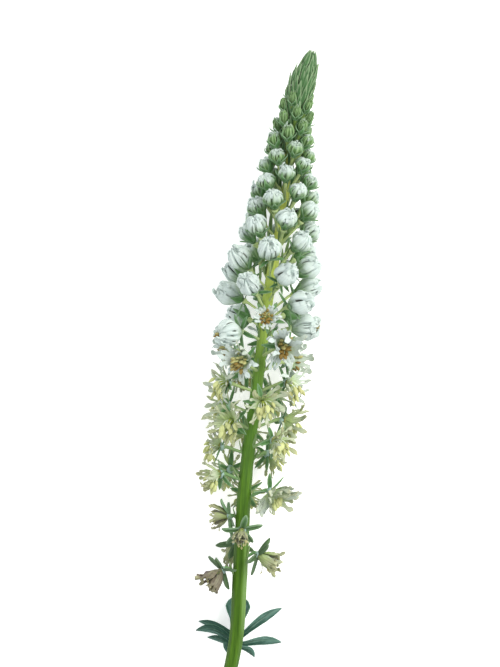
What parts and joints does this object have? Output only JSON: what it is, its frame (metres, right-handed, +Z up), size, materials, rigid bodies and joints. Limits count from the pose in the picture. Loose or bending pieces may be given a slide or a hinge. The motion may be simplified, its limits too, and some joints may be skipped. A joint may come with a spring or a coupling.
{
  "type": "mignonette flower",
  "caption": "cut spike of white mignonette: ribbed stem with withered flowers low, open lobed flowers and white buds above, a tapering green tip, and one small lobed leaf",
  "frame": {"origin": "under the middle of the whole spike's box, on the surface that it lies on", "axes": "the spike lies along +Y with its growing tip forward, +X is its right side seen from above, and +Z is up from the surface"},
  "size_m": [0.0282, 0.1448, 0.0215],
  "materials": {
    "withered_flower": "dry, papery petals in dull brown and mauve",
    "open_flower": "thin matt petals, greenish cream",
    "white_bud": "soft matt buds, white with a green-blue shade",
    "green_stem": "fresh green stem, stalks, sepals and young buds, slightly waxy",
    "leaf": "blue-green leaf, slightly waxy"
  },
  "bodies": {
    "root": {"bloom_01": "withered_flower", "bloom_02": "withered_flower", "bloom_03": "withered_flower", "bloom_04": "withered_flower", "bloom_05": "withered_flower", "bloom_06": "open_flower", "bloom_07": "open_flower", "bloom_08": "open_flower", "bloom_09": "open_flower", "bloom_10": "open_flower", "bloom_11": "open_flower", "bloom_12": "open_flower", "bloom_13": "open_flower", "bloom_14": "open_flower", "bloom_15": "open_flower", "bloom_16": "open_flower", "bloom_17": "open_flower", "bloom_18": "open_flower", "bloom_19": "open_flower", "bloom_20": "open_flower", "bloom_21": "open_flower", "bloom_22": "open_flower", "bloom_23": "open_flower", "bloom_24": "open_flower", "bloom_25": "open_flower", "bloom_26": "open_flower", "bloom_27": "open_flower", "bloom_28": "open_flower", "bloom_29": "white_bud", "bloom_30": "open_flower", "bloom_31": "white_bud", "bloom_32": "white_bud", "bloom_33": "white_bud", "bloom_34": "white_bud", "bloom_35": "white_bud", "bloom_36": "white_bud", "bloom_37": "white_bud", "bloom_38": "white_bud", "bloom_39": "white_bud", "bloom_40": "white_bud", "bloom_41": "white_bud", "bloom_42": "white_bud", "bloom_43": "white_bud", "bloom_44": "white_bud", "bloom_45": "white_bud", "bloom_46": "white_bud", "bloom_47": "white_bud", "bloom_48": "white_bud", "bloom_49": "white_bud", "bloom_50": "white_bud", "bloom_51": "white_bud", "bloom_52": "white_bud", "bloom_53": "white_bud", "bloom_54": "white_bud", "bloom_55": "white_bud", "bloom_56": "white_bud", "bloom_57": "white_bud", "flower_stem": "green_stem", "leaf": "leaf"}
  },
  "joints": []
}
